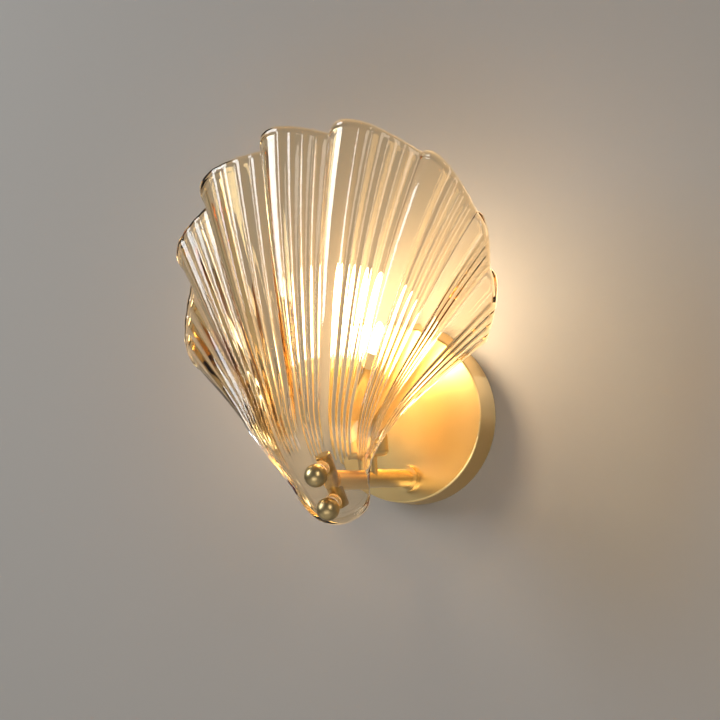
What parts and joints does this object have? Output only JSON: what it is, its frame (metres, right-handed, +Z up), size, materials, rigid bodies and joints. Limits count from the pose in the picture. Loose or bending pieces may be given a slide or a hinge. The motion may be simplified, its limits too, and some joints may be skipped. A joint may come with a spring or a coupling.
{
  "type": "wall sconce",
  "caption": "Wall light: a fluted amber glass scallop shell held by ball nuts on a brass arm and round backplate, with a candle bulb behind it.",
  "frame": {"origin": "centre of the backplate's open edge, in the plane of the wall", "axes": "+Z up, -Y out from the wall into the room, +X to the right seen from the room"},
  "size_m": [0.2364, 0.156, 0.246],
  "materials": {
    "satin_brass": "satin brushed",
    "antique_brass": "aged satin",
    "plain_brass": "turned, bare",
    "zinc_steel": "zinc plated",
    "amber_glass": "clear pressed amber glass, fire polished",
    "opal_glass": "opal",
    "white_plastic": "moulded",
    "black_glass": "glassy",
    "silicone": "matt",
    "holder_resin": "moulded",
    "brown_insulation": "smooth",
    "blue_insulation": "smooth",
    "green_insulation": "smooth"
  },
  "bodies": {
    "fixture": {"backplate": "satin_brass", "arm_collar": "satin_brass", "arm_tube": "satin_brass", "holder_neck": "satin_brass", "holder_cup": "satin_brass", "front_bar": "antique_brass", "glass_screws": "antique_brass", "arm_plug": "plain_brass", "arm_nipple": "plain_brass", "arm_locknut": "plain_brass", "neck_nut": "plain_brass", "centre_contact": "plain_brass", "socket_thread": "plain_brass", "earth_lug": "plain_brass", "wall_strap": "zinc_steel", "strap_ears": "zinc_steel", "set_screws": "zinc_steel", "earth_screw": "zinc_steel", "arm_washer": "zinc_steel", "glass_shell": "amber_glass", "terminal_block": "white_plastic", "front_washers": "white_plastic", "hole_sleeves": "white_plastic", "rear_gaskets": "silicone", "holder_body": "holder_resin", "live_lead": "brown_insulation", "neutral_lead": "blue_insulation", "earth_lead": "green_insulation"},
    "bulb_seat": {"bulb_tip": "plain_brass", "bulb_insulator": "black_glass"},
    "bulb": {"bulb_cap": "plain_brass", "bulb_collar": "white_plastic", "bulb_envelope": "opal_glass"},
    "lower_nut": {"lower_ball_nut": "antique_brass"},
    "upper_nut": {"upper_ball_nut": "antique_brass"}
  },
  "joints": [
    {"name": "bulb_lift", "type": "slide", "parent": "fixture", "child": "bulb_seat", "axis": [0, 0, 1], "range_m": [0, 0.01974]},
    {"name": "bulb_turn", "type": "hinge", "parent": "bulb_seat", "child": "bulb", "pos_m": [0, -0.076, 0], "axis": [0, 0, 1], "range_deg": [0, 2520]},
    {"name": "lower_nut_turn", "type": "hinge", "parent": "fixture", "child": "lower_nut", "pos_m": [0, -0.13063, -0.06026], "axis": [0, -0.866, -0.5], "range_deg": [0, 1440]},
    {"name": "upper_nut_turn", "type": "hinge", "parent": "fixture", "child": "upper_nut", "pos_m": [0, -0.14213, -0.04034], "axis": [0, -0.866, -0.5], "range_deg": [0, 1440]}
  ],
  "couplings": [
    {"joint": "bulb_turn", "follows": "bulb_lift", "rad_per_m": 2228.1}
  ]
}
